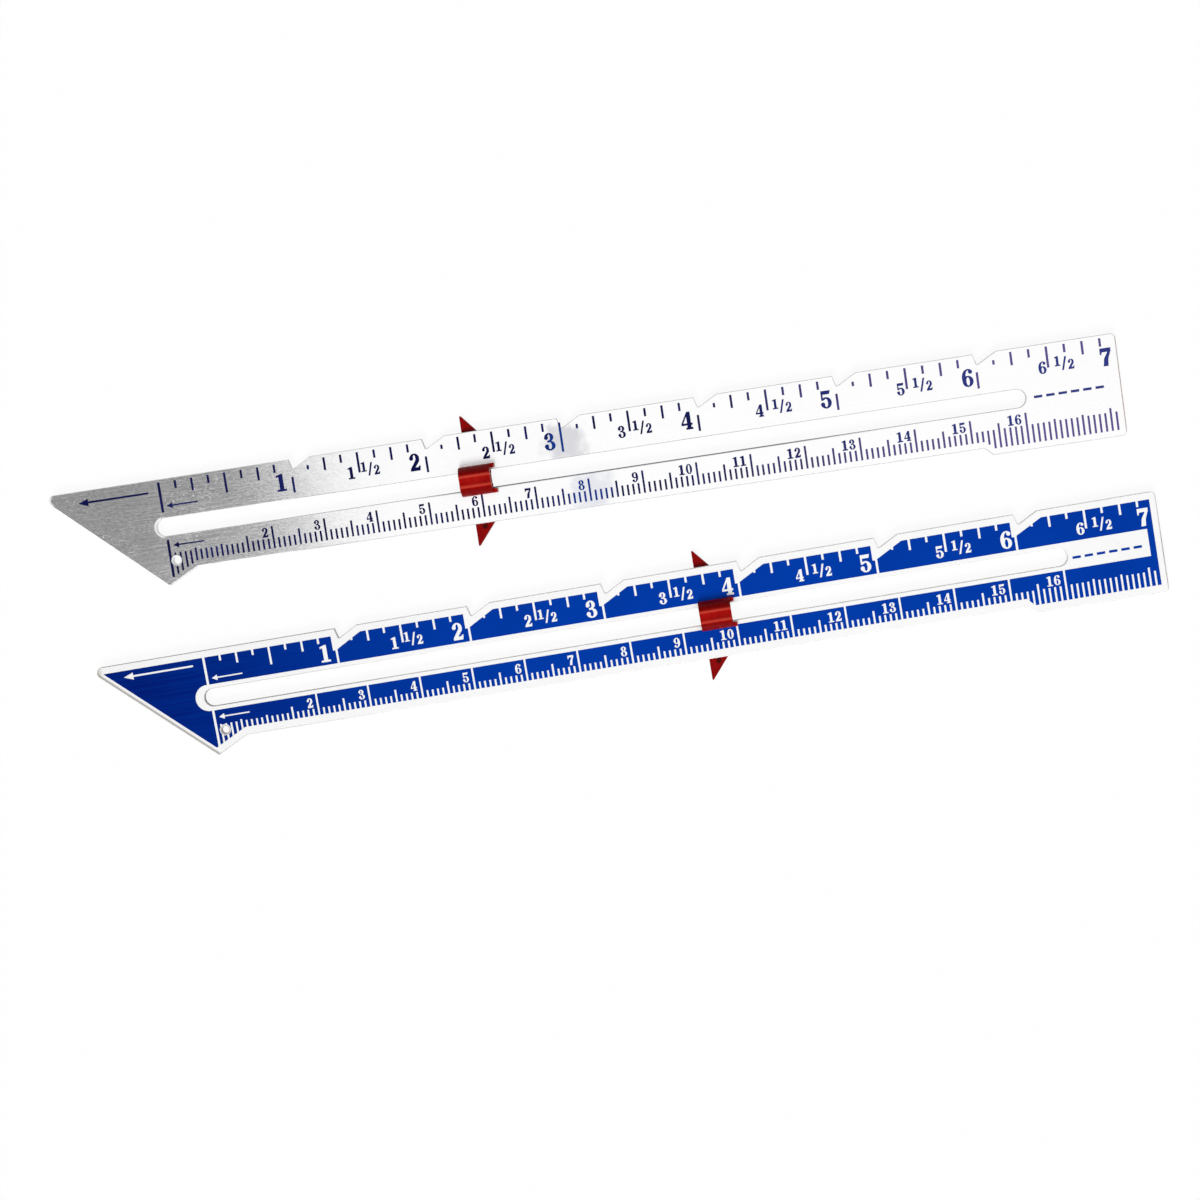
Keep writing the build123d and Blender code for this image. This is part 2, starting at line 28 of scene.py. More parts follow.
def add(tree, kind, inputs=None, **settings):
    """Adds one shader node. A socket given as an input is linked, and anything else is its value."""
    made = tree.nodes.new(kind)
    for name, value in settings.items():
        setattr(made, name, value)
    for socket, value in (inputs or {}).items():
        if isinstance(value, bpy.types.NodeSocket):
            tree.links.new(value, made.inputs[socket])
        else:
            made.inputs[socket].default_value = value
    return made


def math_node(tree, operation, *values):
    """The result of one sum on sockets or numbers."""
    return add(tree, "ShaderNodeMath", dict(enumerate(values)), operation=operation).outputs[0]


def remap(tree, value, low, high, to_low=0.0, to_high=1.0):
    """A value spread smoothly from one range to another."""
    made = add(
        tree,
        "ShaderNodeMapRange",
        {"Value": value, "From Min": low, "From Max": high, "To Min": to_low, "To Max": to_high},
        interpolation_type="SMOOTHSTEP",
    )
    return made.outputs["Result"]


def mix_colour(tree, share, first, second):
    """Two colours mixed by a share."""
    made = add(tree, "ShaderNodeMix", {"Factor": share, 6: first, 7: second}, data_type="RGBA")
    return made.outputs[2]


def tint(tree, below, mask, strength, colour):
    """A colour laid over the one below, as far as a mask and its strength say."""
    return mix_colour(tree, math_node(tree, "MULTIPLY", mask, strength), below, colour)


def start_group(name, numbers, results):
    """An empty effect with number inputs and results. Gives its tree, its inputs and its output node."""
    tree = bpy.data.node_groups.new(name, "ShaderNodeTree")
    for title, value in numbers.items():
        socket = tree.interface.new_socket(name=title, in_out="INPUT", socket_type="NodeSocketFloat")
        socket.default_value = value
    for title in results:
        tree.interface.new_socket(name=title, in_out="OUTPUT", socket_type="NodeSocketFloat")
    return tree, tree.nodes.new("NodeGroupInput").outputs, tree.nodes.new("NodeGroupOutput")


def place_group(tree, group, **numbers):
    """One effect placed in a material with its own numbers. Gives its results."""
    made = add(tree, "ShaderNodeGroup", node_tree=group)
    for title, value in numbers.items():
        made.inputs[title.replace("_", " ")].default_value = value
    return made.outputs


def piece_point(tree):
    """The point of the piece that is being coloured."""
    return add(tree, "ShaderNodeTexCoord").outputs["Object"]


def piece_lengths(tree):
    """The same point as separate lengths along X, Y and Z."""
    return add(tree, "ShaderNodeSeparateXYZ", {0: piece_point(tree)}).outputs


def distance_from(tree, x, y):
    """How far the point is from an upright line through the piece."""
    point = piece_point(tree)
    flat = add(tree, "ShaderNodeVectorMath", {0: point, 1: (1, 1, 0)}, operation="MULTIPLY").outputs[0]
    centre = add(tree, "ShaderNodeCombineXYZ", {"X": x, "Y": y}).outputs[0]
    return add(tree, "ShaderNodeVectorMath", {0: flat, 1: centre}, operation="DISTANCE").outputs["Value"]


def cloud_noise(tree, count, shift, detail, roughness=0.5):
    """Noise that is alike in every direction, with its count per metre."""
    noise = add(
        tree,
        "ShaderNodeTexNoise",
        {"Vector": piece_point(tree), "W": shift, "Scale": count, "Detail": detail, "Roughness": roughness},
        noise_dimensions="4D",
    )
    return noise.outputs[0]


def stretched_noise(tree, along, across, turn, shift=0.0, detail=3.0, roughness=0.6):
    """Noise drawn out along the piece, with its counts per metre along and across."""
    counts = add(tree, "ShaderNodeCombineXYZ", {"X": along, "Y": across, "Z": across}).outputs[0]
    turned = add(
        tree, "ShaderNodeVectorRotate", {"Vector": piece_point(tree), "Angle": turn}, rotation_type="Z_AXIS"
    )
    placed = add(
        tree,
        "ShaderNodeMapping",
        {"Vector": turned.outputs[0], "Location": (shift, shift, shift), "Scale": counts},
    )
    noise = add(
        tree,
        "ShaderNodeTexNoise",
        {"Vector": placed.outputs[0], "Scale": 1.0, "Detail": detail, "Roughness": roughness},
    )
    return noise.outputs[0]


def build_brushed_grain():
    """Long fine streaks with broader bands between them, as a belt leaves them."""
    tree, inputs, output = start_group(
        "brushed grain", {"Along": 90.0, "Across": 9000.0, "Turn": 0.0}, ("Streak", "Band")
    )
    fine = stretched_noise(tree, inputs["Along"], inputs["Across"], inputs["Turn"])
    broad_along = math_node(tree, "MULTIPLY", inputs["Along"], 0.35)
    broad_across = math_node(tree, "MULTIPLY", inputs["Across"], 0.12)
    broad = stretched_noise(tree, broad_along, broad_across, inputs["Turn"], shift=7.0)
    tree.links.new(remap(tree, fine, 0.3, 0.7), output.inputs["Streak"])
    tree.links.new(remap(tree, broad, 0.35, 0.65), output.inputs["Band"])
    return tree


def build_fine_scratches():
    """Sparse hair scratches that lie at an angle to the grain."""
    tree, inputs, output = start_group(
        "fine scratches", {"Along": 160.0, "Across": 5200.0, "Turn": 0.4, "Rarity": 0.7}, ("Scratch",)
    )
    lines = stretched_noise(tree, inputs["Along"], inputs["Across"], inputs["Turn"], shift=3.0, detail=1.0)
    line_mask = remap(tree, lines, inputs["Rarity"], math_node(tree, "ADD", inputs["Rarity"], 0.045))
    patches = stretched_noise(tree, 90.0, 90.0, 0.0, shift=11.0, detail=2.0)
    patch_mask = remap(tree, patches, 0.46, 0.62)
    tree.links.new(math_node(tree, "MULTIPLY", line_mask, patch_mask), output.inputs["Scratch"])
    return tree


def build_rubbed_patches():
    """Soft clouds where fingers and cloth have rubbed a face."""
    tree, inputs, output = start_group("rubbed patches", {"Count": 55.0, "Shift": 0.0}, ("Patch",))
    clouds = cloud_noise(tree, inputs["Count"], inputs["Shift"], detail=4.0, roughness=0.55)
    tree.links.new(remap(tree, clouds, 0.42, 0.68), output.inputs["Patch"])
    return tree


def build_sheared_side():
    """One on the upright sides of a stamping, a half on its broken edges and nothing on its faces."""
    tree, inputs, output = start_group("sheared side", {}, ("Side", "Break"))
    normal = add(tree, "ShaderNodeNewGeometry").outputs["Normal"]
    upright = math_node(tree, "ABSOLUTE", add(tree, "ShaderNodeSeparateXYZ", {0: normal}).outputs["Z"])
    side = remap(tree, upright, 0.5, 0.1)
    flat = remap(tree, upright, 0.8, 0.98)
    broken = math_node(tree, "SUBTRACT", math_node(tree, "SUBTRACT", 1.0, flat), side)
    tree.links.new(side, output.inputs["Side"])
    tree.links.new(math_node(tree, "MAXIMUM", broken, 0.0), output.inputs["Break"])
    return tree


def build_thumbed_spot():
    """One soft ragged cloud round a place, such as where the metal was held."""
    tree, inputs, output = start_group("thumbed spot", {"X": 0.0, "Y": 0.0, "Reach": 0.006}, ("Spot",))
    share = math_node(tree, "DIVIDE", distance_from(tree, inputs["X"], inputs["Y"]), inputs["Reach"])
    ragged = add(
        tree, "ShaderNodeTexNoise", {"Vector": piece_point(tree), "Scale": 420.0, "Detail": 3.0}
    ).outputs[0]
    uneven = math_node(tree, "MULTIPLY_ADD", ragged, 1.1, share)
    tree.links.new(remap(tree, uneven, 1.45, 0.85), output.inputs["Spot"])
    return tree


def build_painted_highlight_rim():
    """A painted highlight: a bright crescent on the point's side of a round edge."""
    tree, inputs, output = start_group(
        "painted highlight rim", {"X": 0.0, "Y": 0.0, "Radius": 0.001, "Width": 0.0004}, ("Rim",)
    )
    off_rim = math_node(tree, "SUBTRACT", distance_from(tree, inputs["X"], inputs["Y"]), inputs["Radius"])
    share = math_node(tree, "DIVIDE", math_node(tree, "ABSOLUTE", off_rim), inputs["Width"])
    past_centre = math_node(tree, "SUBTRACT", piece_lengths(tree)["X"], inputs["X"])
    pointward = remap(tree, past_centre, 0.0002, -0.0010)
    worn = math_node(tree, "MULTIPLY", remap(tree, share, 1.2, 0.7), pointward)
    tree.links.new(worn, output.inputs["Rim"])
    return tree


def build_edge_band():
    """A soft band along the inside of one straight edge, from a corner on it and its slope."""
    tree, inputs, output = start_group(
        "edge band", {"X": 0.0, "Y": 0.0, "Slope": 0.0, "Band": 0.0005}, ("Edge",)
    )
    corner = add(tree, "ShaderNodeCombineXYZ", {"X": inputs["X"], "Y": inputs["Y"]}).outputs[0]
    offset = add(
        tree, "ShaderNodeVectorMath", {0: piece_point(tree), 1: corner}, operation="SUBTRACT"
    ).outputs[0]
    opposite = math_node(tree, "MULTIPLY", inputs["Slope"], -1.0)
    turned = add(
        tree, "ShaderNodeVectorRotate", {"Vector": offset, "Angle": opposite}, rotation_type="Z_AXIS"
    )
    inward = add(tree, "ShaderNodeSeparateXYZ", {0: turned.outputs[0]}).outputs["Y"]
    share = math_node(tree, "DIVIDE", inward, inputs["Band"])
    tree.links.new(remap(tree, share, 1.25, 0.75), output.inputs["Edge"])
    return tree


brushed_grain = build_brushed_grain()
fine_scratches = build_fine_scratches()
rubbed_patches = build_rubbed_patches()
sheared_side = build_sheared_side()
thumbed_spot = build_thumbed_spot()
painted_highlight_rim = build_painted_highlight_rim()
edge_band = build_edge_band()


def start_material(name, **plain):
    """A material with one principled shader whose even values are set on its own sockets."""
    material = bpy.data.materials.new(name)
    material.use_nodes = True
    shader = material.node_tree.nodes["Principled BSDF"]
    for title, value in plain.items():
        shader.inputs[title.replace("_", " ")].default_value = value
    return material, material.node_tree, shader


def add_relief(tree, shader, height, strength, depth=0.00001):
    """Fine relief on a shader, from a height that changes over the surface."""
    bump = add(tree, "ShaderNodeBump", {"Height": height, "Strength": strength, "Distance": depth})
    tree.links.new(bump.outputs[0], shader.inputs["Normal"])


def dress(names, material):
    """Gives CAD nodes their finish."""
    for name in names:
        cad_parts[name].material_slots[0].material = material


# Each of these pairs gives the places along the blade where a look is least and where it is full.
painted_brightening_along = (-0.055, -0.030)
speckled_along = (-0.035, -0.062)
painted_highlight_along = (-0.050, -0.060)
mirror_along = (-0.035, -0.055)
hair_scratches = {"Along": 420.0, "Across": 9000.0, "Turn": 0.25, "Rarity": 0.66}
cross_scratches = {"Along": 900.0, "Across": 7000.0, "Turn": -1.1, "Rarity": 0.70}
nicks = {"Along": 1900.0, "Across": 2300.0, "Turn": 0.9, "Rarity": 0.67}
thumbed_places = ((-0.0032, 0.0205, 0.0056), (0.0002, 0.0105, 0.0064))
thumbed_tones = ((0.85, (0.62, 0.62, 0.66, 1)), (0.7, (0.70, 0.71, 0.78, 1)))
wide_end_corner = (0.09753, 0.00649)
wide_end_band = 0.0002
slot_end_rim = {"X": -0.08007, "Y": 0.01594, "Radius": 0.00175, "Width": 0.0003}
nose_rim = {"X": -0.10027, "Y": 0.02389, "Radius": 0.00085, "Width": 0.00022}
painted_slot_shade_foot = 0.01394
painted_slot_shade_top = 0.01474
painted_slot_shade_fade = 0.0002
painted_slot_shade_starts = (-0.035, -0.020)
painted_slot_shade_ends = (0.064, 0.035)


def build_painted_slot_shade(tree, place):
    """A mask of painted shade along the slot's near edge, which stops short of both its ends."""
    below_top = remap(tree, place["Y"], painted_slot_shade_top, painted_slot_shade_top - painted_slot_shade_fade)
    above_foot = remap(tree, place["Y"], painted_slot_shade_foot, painted_slot_shade_foot + painted_slot_shade_fade)
    line = math_node(tree, "MULTIPLY", below_top, above_foot)
    line = math_node(tree, "MULTIPLY", line, remap(tree, place["X"], *painted_slot_shade_starts))
    return math_node(tree, "MULTIPLY", line, remap(tree, place["X"], *painted_slot_shade_ends, 0.0, 0.85))


def build_brushed_aluminium():
    """Brushed sheet with rubbed and thumbed clouds, scratches, nicks and a sheared side darkened partly
    as painted shade.

    Towards the point it is more of a mirror and speckled, and its broken edges carry a painted
    highlight. Away from the point it is painted paler as painted light, with painted shade along the slot.
    """
    material, tree, shader = start_material("brushed aluminium", Specular_IOR_Level=0.5)
    place = piece_lengths(tree)
    grain = place_group(tree, brushed_grain, Along=90.0, Across=8000.0)
    patch = place_group(tree, rubbed_patches, Count=48.0)["Patch"]
    side = place_group(tree, sheared_side)
    scratch = 0.0
    for kind in (hair_scratches, cross_scratches, nicks):
        scratch = math_node(tree, "MAXIMUM", scratch, place_group(tree, fine_scratches, **kind)["Scratch"])

    tone = mix_colour(tree, grain["Streak"], (0.90, 0.90, 0.91, 1), (0.97, 0.97, 0.97, 1))
    tone = tint(tree, tone, grain["Band"], 0.3, (0.90, 0.89, 0.90, 1))
    tone = tint(tree, tone, patch, 0.2, (0.78, 0.77, 0.79, 1))
    # Painted light: the sheet is painted paler away from the point, where it mirrors brighter light.
    painted_brightening = remap(tree, place["X"], *painted_brightening_along)
    tone = tint(tree, tone, painted_brightening, 0.7, (0.99, 0.99, 0.99, 1))
    for (x, y, reach), (strength, colour) in zip(thumbed_places, thumbed_tones):
        spot = place_group(tree, thumbed_spot, X=x, Y=y, Reach=reach)["Spot"]
        tone = tint(tree, tone, spot, strength, colour)
    speckle = stretched_noise(tree, 1500.0, 4400.0, 0.16, shift=2.0, detail=2.0, roughness=0.7)
    speckle_here = remap(tree, place["X"], *speckled_along)
    speckle = math_node(tree, "MULTIPLY", speckle_here, remap(tree, speckle, 0.56, 0.43))
    tone = tint(tree, tone, speckle, 0.75, (0.64, 0.64, 0.66, 1))
    tone = tint(tree, tone, scratch, remap(tree, painted_brightening, 0.0, 1.0, 0.5, 0.1), (0.99, 0.99, 1.0, 1))
    # The sides and broken edges are darker, partly the duller sheared metal and partly painted shade.
    tone = mix_colour(tree, side["Side"], tone, (0.50, 0.50, 0.52, 1))
    tone = tint(tree, tone, side["Break"], 0.85, (0.62, 0.63, 0.65, 1))
    x, y = wide_end_corner
    stain = place_group(tree, edge_band, X=x, Y=y, Slope=radians(90), Band=wide_end_band)["Edge"]
    stain_strength = math_node(tree, "MULTIPLY_ADD", patch, 0.4, 0.4)
    tone = tint(tree, tone, stain, stain_strength, (0.30, 0.20, 0.16, 1))
    # Painted shade: a dark line along the slot's near edge.
    tone = mix_colour(tree, build_painted_slot_shade(tree, place), tone, (0.10, 0.12, 0.13, 1))
    # Painted highlight: the broken edges at the point and two round rims near it are painted near white and
    # made less of a mirror.
    rims = [place_group(tree, painted_highlight_rim, **rim)["Rim"] for rim in (slot_end_rim, nose_rim)]
    point_edge = math_node(tree, "MULTIPLY", side["Break"], remap(tree, place["X"], *painted_highlight_along))
    painted_highlight = math_node(tree, "MAXIMUM", point_edge, math_node(tree, "MAXIMUM", *rims))
    tone = mix_colour(tree, painted_highlight, tone, (0.98, 0.98, 0.99, 1))
    tree.links.new(tone, shader.inputs["Base Color"])

    mirror = remap(tree, place["X"], *mirror_along, 0.3, 0.75)
    metal = math_node(tree, "MULTIPLY", mirror, math_node(tree, "MULTIPLY_ADD", painted_highlight, -0.85, 1.0))
    tree.links.new(metal, shader.inputs["Metallic"])
    rough = math_node(tree, "MULTIPLY_ADD", grain["Streak"], 0.08, 0.065)
    rough = math_node(tree, "MULTIPLY_ADD", patch, 0.04, rough)
    rough = math_node(tree, "MULTIPLY_ADD", scratch, 0.16, rough)
    rough = math_node(tree, "MULTIPLY_ADD", side["Side"], 0.25, rough)
    tree.links.new(rough, shader.inputs["Roughness"])
    height = math_node(tree, "MULTIPLY_ADD", scratch, -0.6, grain["Streak"])
    add_relief(tree, shader, height, 0.08)
    return material


dress(["silver_blade"], build_brushed_aluminium())


# --- The second blade ---------------------------------------------------------------------------
# The same stamping, laid a little askew below the first and dulled all over to hold the blue, so
# its bare rim and the window at the slot are a pale soft satin. A dark band along one slope and a
# dark nose are painted reflections, its sides are painted darker near the point as shade, and its
# wide end is stained by handling.

blue_gauge_turn = radians(1.25)
painted_dark_slope_corner = (-0.0771, -0.0281)
painted_dark_slope_angle = radians(-41.03)
painted_dark_nose = (-0.0982, -0.0098, 0.0022)
blue_end_corner = (0.10137, -0.02263)
satin_painted_brightening_along = (-0.060, -0.035)


def build_satin_aluminium():
    """Pale satin sheet with a faint grain under it, and a sheared side painted darker at the point as
    shade.
    """
    material, tree, shader = start_material("satin aluminium", Metallic=0.15, Specular_IOR_Level=0.4)
    grain = place_group(tree, brushed_grain, Along=110.0, Across=6000.0, Turn=-blue_gauge_turn)
    patch = place_group(tree, rubbed_patches, Count=60.0, Shift=3.7)["Patch"]
    scratch = place_group(tree, fine_scratches, Turn=0.6, Rarity=0.66)["Scratch"]
    side = place_group(tree, sheared_side)

    tone = mix_colour(tree, grain["Streak"], (0.97, 0.97, 0.97, 1), (0.995, 0.995, 0.995, 1))
    tone = tint(tree, tone, patch, 0.25, (0.93, 0.92, 0.93, 1))
    tone = tint(tree, tone, scratch, 0.4, (0.84, 0.84, 0.85, 1))
    # Painted reflection: a dark band along the lower slope at the point.
    x, y = painted_dark_slope_corner
    painted_dark_slope = place_group(tree, edge_band, X=x, Y=y, Slope=painted_dark_slope_angle)["Edge"]
    tone = tint(tree, tone, painted_dark_slope, 0.8, (0.34, 0.33, 0.30, 1))
    # Painted reflection: the nose is painted a dark brownish grey.
    x, y, reach = painted_dark_nose
    painted_nose = place_group(tree, thumbed_spot, X=x, Y=y, Reach=reach)["Spot"]
    tone = tint(tree, tone, painted_nose, 0.8, (0.42, 0.38, 0.30, 1))
    # Painted shade: the sides and broken edges are dark near the point and pale away from it.
    painted_brightening = remap(tree, piece_lengths(tree)["X"], *satin_painted_brightening_along)
    side_tone = mix_colour(tree, painted_brightening, (0.46, 0.44, 0.43, 1), (0.90, 0.88, 0.86, 1))
    break_tone = mix_colour(tree, painted_brightening, (0.56, 0.52, 0.50, 1), (0.90, 0.88, 0.86, 1))
    tone = mix_colour(tree, side["Side"], tone, side_tone)
    tone = tint(tree, tone, side["Break"], 0.85, break_tone)
    x, y = blue_end_corner
    end_slope = radians(90) + blue_gauge_turn
    stain = place_group(tree, edge_band, X=x, Y=y, Slope=end_slope, Band=wide_end_band)["Edge"]
    stain_strength = math_node(tree, "MULTIPLY_ADD", patch, 0.6, 0.3)
    tone = tint(tree, tone, stain, stain_strength, (0.14, 0.09, 0.08, 1))
    tree.links.new(tone, shader.inputs["Base Color"])

    rough = math_node(tree, "MULTIPLY_ADD", grain["Streak"], 0.10, 0.34)
    rough = math_node(tree, "MULTIPLY_ADD", side["Side"], 0.2, rough)
    tree.links.new(rough, shader.inputs["Roughness"])
    height = math_node(tree, "MULTIPLY_ADD", scratch, -1.0, grain["Streak"])
    add_relief(tree, shader, height, 0.3)
    return material


dress(["blue_blade"], build_satin_aluminium())


# --- The navy scales ----------------------------------------------------------------------------
# Lines, numbers and plain marks screened onto the bare blade in one thin pass of navy ink. It is
# bluer in clouds and where the blade was held, and painted paler towards the wide end as painted
# light, the lines more than the numbers. Its surface is faintly pebbled by the mesh.

painted_light_along = (0.005, 0.085)


def build_screened_ink():
    """Ink that thinned in clouds, with the faint pebble of the screen."""
    tree, inputs, output = start_group(
        "screened ink", {"Clouds": 120.0, "Pebbles": 5200.0, "Shift": 0.0}, ("Thin", "Pebble")
    )
    clouds = cloud_noise(tree, inputs["Clouds"], inputs["Shift"], detail=3.0)
    pebbles = cloud_noise(tree, inputs["Pebbles"], inputs["Shift"], detail=2.0)
    tree.links.new(remap(tree, clouds, 0.4, 0.7), output.inputs["Thin"])
    tree.links.new(remap(tree, pebbles, 0.3, 0.7), output.inputs["Pebble"])
    return tree


screened_ink = build_screened_ink()


def build_navy_ink(name, most_painted_light, painted_light_tone):
    """Dense navy that goes bluer where it is thin or thumbed, and is painted paler towards the wide end as
    painted light.
    """
    material, tree, shader = start_material(name, Specular_IOR_Level=0.08)
    ink = place_group(tree, screened_ink, Clouds=90.0, Pebbles=5200.0)
    tone = mix_colour(tree, ink["Thin"], (0.001, 0.002, 0.045, 1), (0.008, 0.014, 0.130, 1))
    tone = tint(tree, tone, ink["Pebble"], 0.25, (0.006, 0.006, 0.080, 1))
    for x, y, reach in thumbed_places:
        spot = place_group(tree, thumbed_spot, X=x, Y=y, Reach=reach)["Spot"]
        tone = tint(tree, tone, spot, 0.7, (0.004, 0.050, 0.330, 1))
    # Painted light: the ink is painted paler towards the wide end.
    tone = tint(tree, tone, remap(tree, piece_lengths(tree)["X"], *painted_light_along), most_painted_light, painted_light_tone)
    tree.links.new(tone, shader.inputs["Base Color"])
    tree.links.new(remap(tree, ink["Pebble"], 0.0, 1.0, 0.42, 0.58), shader.inputs["Roughness"])
    add_relief(tree, shader, ink["Pebble"], 0.3)
    return material


line_ink = build_navy_ink("navy line ink", 0.85, (0.120, 0.100, 0.300, 1))
number_ink = build_navy_ink("navy number ink", 0.75, (0.035, 0.050, 0.270, 1))
dress(["silver_inch_lines", "silver_metric_lines"], line_ink)
dress(["silver_inch_numbers", "silver_metric_numbers", "silver_marks"], number_ink)


# --- The blue fields ----------------------------------------------------------------------------
# A solid blue lacquer over the dulled sheet, with every line and number left open down to bare
# metal. It is painted darker towards the point as a painted reflection, and the grain shows
# through as streaks.

painted_reflection_along = (-0.095, -0.020)


def build_blue_lacquer():
    """Blue lacquer with the grain ghosting through and clouds where it lies thicker."""
    material, tree, shader = start_material("blue lacquer", Metallic=0.35, Specular_IOR_Level=0.02)
    grain = place_group(tree, brushed_grain, Along=70.0, Across=4000.0, Turn=-blue_gauge_turn)
    ink = place_group(tree, screened_ink, Clouds=60.0, Pebbles=3600.0, Shift=2.3)
    # Painted reflection: the blue is painted darker towards the point.
    painted_reflection = remap(tree, piece_lengths(tree)["X"], *painted_reflection_along)
    tone = mix_colour(tree, painted_reflection, (0.0, 0.009, 0.165, 1), (0.0, 0.044, 0.395, 1))
    tone = tint(tree, tone, grain["Streak"], 0.35, (0.0, 0.050, 0.40, 1))
    tone = tint(tree, tone, ink["Thin"], 0.35, (0.0, 0.030, 0.30, 1))
    tree.links.new(tone, shader.inputs["Base Color"])
    tree.links.new(remap(tree, grain["Streak"], 0.0, 1.0, 0.30, 0.40), shader.inputs["Roughness"])
    height = math_node(tree, "MULTIPLY_ADD", ink["Pebble"], 0.6, grain["Streak"])
    add_relief(tree, shader, height, 0.2)
    return material


blue_pieces = ["blue_point_print", "blue_inch_print", "blue_metric_print", "blue_stitch_mark"]
dress(blue_pieces, build_blue_lacquer())


# --- The sliders --------------------------------------------------------------------------------
# One red nylon moulding each: plate with two pointers, webs through the slot and the arched grip.
# The mould's edges are soft and left one dark mark on each plate. The satin skin has faint flow
# streaks. The grip's ridges carry a painted highlight, and the plate and soft edges painted shade.

edge_softness = 0.00009
weld_reach = 0.000001
mould_marks = ((-0.02032, 0.00729), (0.01895, -0.02363))
mould_mark_reach = 0.0008
painted_highlight_levels = (0.00494, 0.00506)
painted_shade_levels = (0.0013, 0.0010)


def build_red_nylon():
    """Satin red nylon with flow streaks, painted highlights on the ridges and painted shade on plate and
    edges.
    """
    material, tree, shader = start_material("red nylon", Specular_IOR_Level=0.05)
    flow = stretched_noise(tree, 1500.0, 500.0, 0.0, shift=5.0)
    skin = place_group(tree, screened_ink, Clouds=260.0, Pebbles=7000.0, Shift=5.1)
    level = piece_lengths(tree)["Z"]
    streaks = remap(tree, flow, 0.35, 0.68)
    tone = mix_colour(tree, streaks, (0.290, 0.001, 0.001, 1), (0.370, 0.003, 0.002, 1))
    tone = tint(tree, tone, skin["Thin"], 0.3, (0.43, 0.008, 0.005, 1))
    # Painted highlight: the grip's ridges are painted a pale red.
    tone = tint(tree, tone, remap(tree, level, *painted_highlight_levels), 0.55, (0.70, 0.075, 0.045, 1))
    # Painted shade: the thin plate is painted a deeper red.
    tone = tint(tree, tone, remap(tree, level, *painted_shade_levels), 0.6, (0.170, 0.0, 0.001, 1))
    for x, y in mould_marks:
        mark = place_group(tree, thumbed_spot, X=x, Y=y, Reach=mould_mark_reach)["Spot"]
        tone = tint(tree, tone, mark, 0.85, (0.030, 0.002, 0.001, 1))
    # Painted shade: the soft edges are painted dark.
    tone = tint(tree, tone, place_group(tree, sheared_side)["Break"], 0.5, (0.060, 0.0, 0.001, 1))
    tree.links.new(tone, shader.inputs["Base Color"])
    tree.links.new(remap(tree, skin["Pebble"], 0.0, 1.0, 0.28, 0.40), shader.inputs["Roughness"])
    height = math_node(tree, "MULTIPLY_ADD", flow, 1.5, skin["Pebble"])
    add_relief(tree, shader, height, 0.3, depth=0.00002)
    return material


slider_names = ("silver_slider", "blue_slider")
dress(slider_names, build_red_nylon())
for name in slider_names:
    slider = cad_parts[name]
    weld = slider.modifiers.new("joined faces", "WELD")
    weld.merge_threshold = weld_reach
    soften = slider.modifiers.new("soft moulded edges", "BEVEL")
    soften.width = edge_softness
    soften.segments = 3
    soften.limit_method = "ANGLE"
    soften.angle_limit = radians(35)
    soften.harden_normals = True


# --- The table ----------------------------------------------------------------------------------
# A plain white surface far wider than the view. Part of its brightness is its own, so that it
# stays white around the gauges while their soft shadow still shows on it.

table_half = 4.0
table_white = (0.96, 0.96, 0.96, 1)
table_own_light = 0.92


def build_table():
    """The white table top, just under the slider plates."""
    mesh = bpy.data.meshes.new("table")
    corners = [(x * table_half, y * table_half, 0) for x, y in ((-1, -1), (1, -1), (1, 1), (-1, 1))]
    mesh.from_pydata(corners, [], [(0, 1, 2, 3)])
    table = bpy.data.objects.new("table", mesh)
    bpy.context.scene.collection.objects.link(table)
    material, tree, shader = start_material(
        "white table", Base_Color=table_white, Roughness=0.9, Specular_IOR_Level=0.0
    )
    path = add(tree, "ShaderNodeLightPath").outputs
    seen = math_node(tree, "MAXIMUM", path["Is Camera Ray"], path["Is Glossy Ray"])
    seen = math_node(tree, "MAXIMUM", seen, path["Is Transmission Ray"])
    share = math_node(tree, "MULTIPLY", seen, table_own_light)
    own = add(tree, "ShaderNodeEmission", {"Color": (1, 1, 1, 1), "Strength": 1.0})
    blended = add(tree, "ShaderNodeMixShader", {0: share, 1: shader.outputs[0], 2: own.outputs[0]})
    tree.links.new(blended.outputs[0], tree.nodes["Material Output"].inputs["Surface"])
    mesh.materials.append(material)


build_table()


# --- The light ----------------------------------------------------------------------------------
# A wide soft light overhead in a dimmer room, with a grey flag above the point of the first gauge,
# which the bare metal reflects there. The camera sees the room as plain white. One soft lamp on
# the near side gives the shadows, and nothing mirrors it.

overhead = 1.07
overhead_edge = (0.78, 0.92)
room = 0.30
flag = 0.12
flag_right_edge = (-0.234, -0.252)
flag_near_edge = (-0.075, -0.055)
mirrored_white_below = (0.30, 0.20)


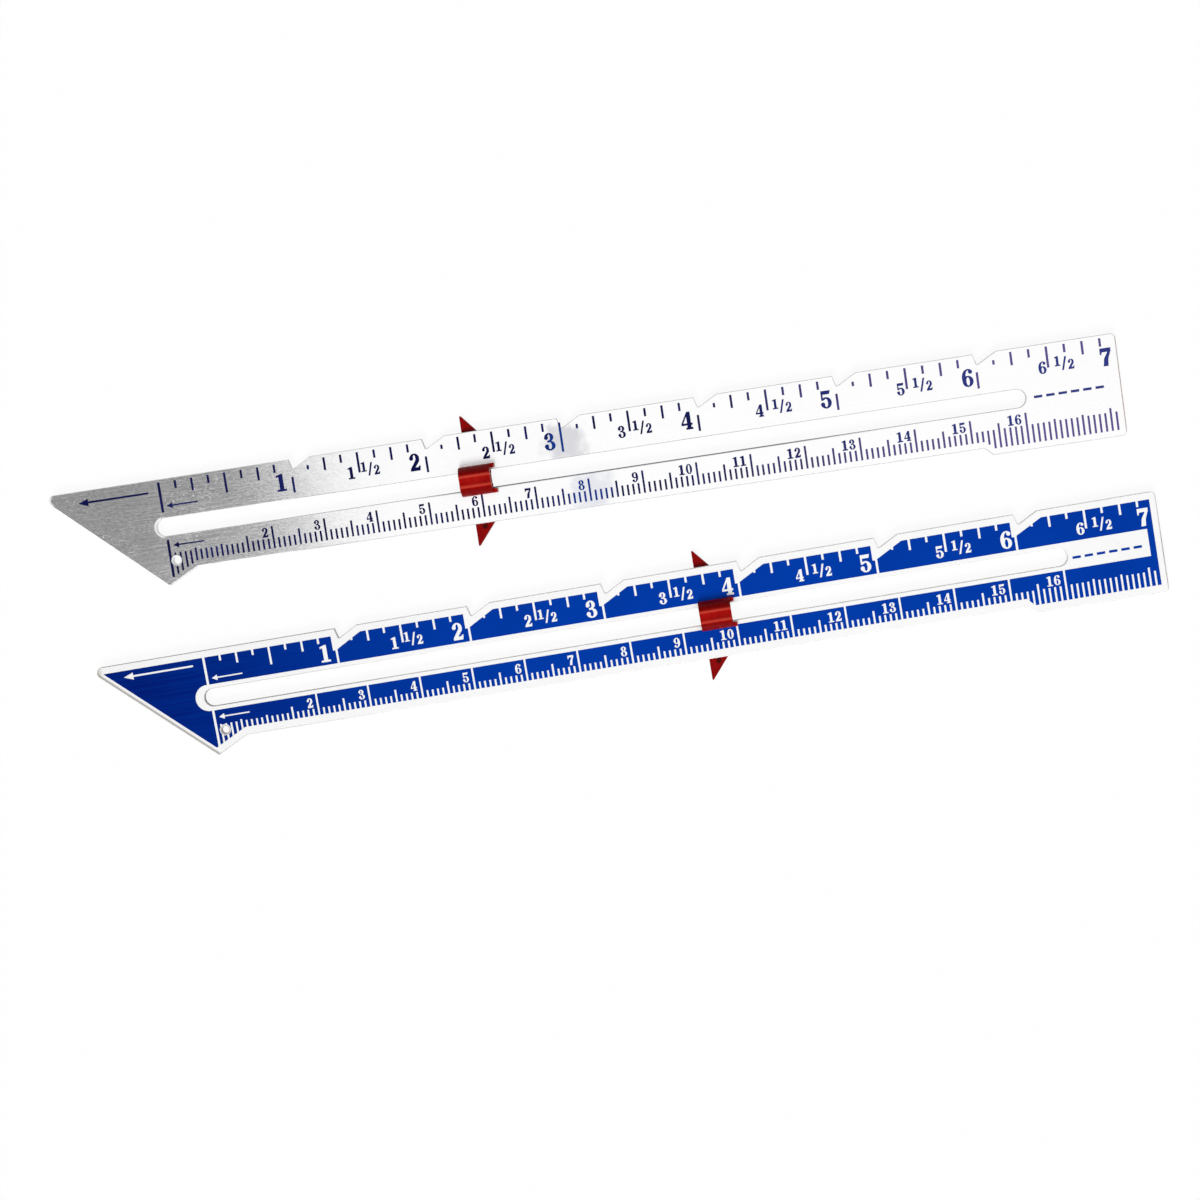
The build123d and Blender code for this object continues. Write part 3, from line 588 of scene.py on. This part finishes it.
def build_room():
    """The room's light by direction, plain and soft."""
    world = bpy.data.worlds.new("room")
    world.use_nodes = True
    bpy.context.scene.world = world
    tree = world.node_tree
    direction = add(tree, "ShaderNodeTexCoord").outputs["Generated"]
    parts = add(tree, "ShaderNodeSeparateXYZ", {0: direction}).outputs
    level = remap(tree, parts["Z"], *overhead_edge, room, overhead)
    left = remap(tree, parts["X"], *flag_right_edge)
    far = remap(tree, parts["Y"], *flag_near_edge)
    covered = math_node(tree, "MULTIPLY", left, far)
    light = add(tree, "ShaderNodeMix", {"Factor": covered, "A": level, "B": flag})
    path = add(tree, "ShaderNodeLightPath").outputs
    mirrored = math_node(tree, "MAXIMUM", path["Is Glossy Ray"], path["Is Transmission Ray"])
    mirrored = math_node(tree, "MULTIPLY", mirrored, remap(tree, parts["Z"], *mirrored_white_below))
    seen = math_node(tree, "MAXIMUM", path["Is Camera Ray"], mirrored)
    shown = add(tree, "ShaderNodeMix", {"Factor": seen, "A": light.outputs[0], "B": 1.0})
    background = tree.nodes["Background"]
    background.inputs["Color"].default_value = (1, 1, 1, 1)
    tree.links.new(shown.outputs[0], background.inputs["Strength"])


build_room()

lamp_strength = 2.12
lamp_turn, lamp_lean, lamp_spread = (radians(angle) for angle in (-19, 37, 26))

lamp_data = bpy.data.lights.new("near lamp", "SUN")
lamp_data.energy = lamp_strength
lamp_data.angle = lamp_spread
near_lamp = bpy.data.objects.new("near lamp", lamp_data)
lamp_aim = Matrix.Rotation(lamp_turn, 4, "Z") @ Matrix.Rotation(lamp_lean, 4, "X")
near_lamp.rotation_euler = lamp_aim.to_euler()
near_lamp.visible_glossy = False
bpy.context.scene.collection.objects.link(near_lamp)
bpy.context.scene.view_settings.view_transform = "Standard"


# --- The camera ---------------------------------------------------------------------------------
# Close above the pair and almost straight down, as the photograph was taken. The points lie at its
# left and the wide ends at its right.

camera_place = (0.02605, 0.01549, 0.3332)
heading, lean, roll = (radians(angle) for angle in (-47.639, -6.346, 39.226))

camera_data = bpy.data.cameras.new("camera")
camera_data.sensor_width = 36
camera_data.lens = 54
camera_data.clip_start = 0.01
camera = bpy.data.objects.new("camera", camera_data)
aim = Matrix.Rotation(heading, 4, "Z") @ Matrix.Rotation(lean, 4, "X") @ Matrix.Rotation(roll, 4, "Z")
camera.matrix_world = Matrix.Translation(camera_place) @ aim
bpy.context.scene.collection.objects.link(camera)
bpy.context.scene.camera = camera
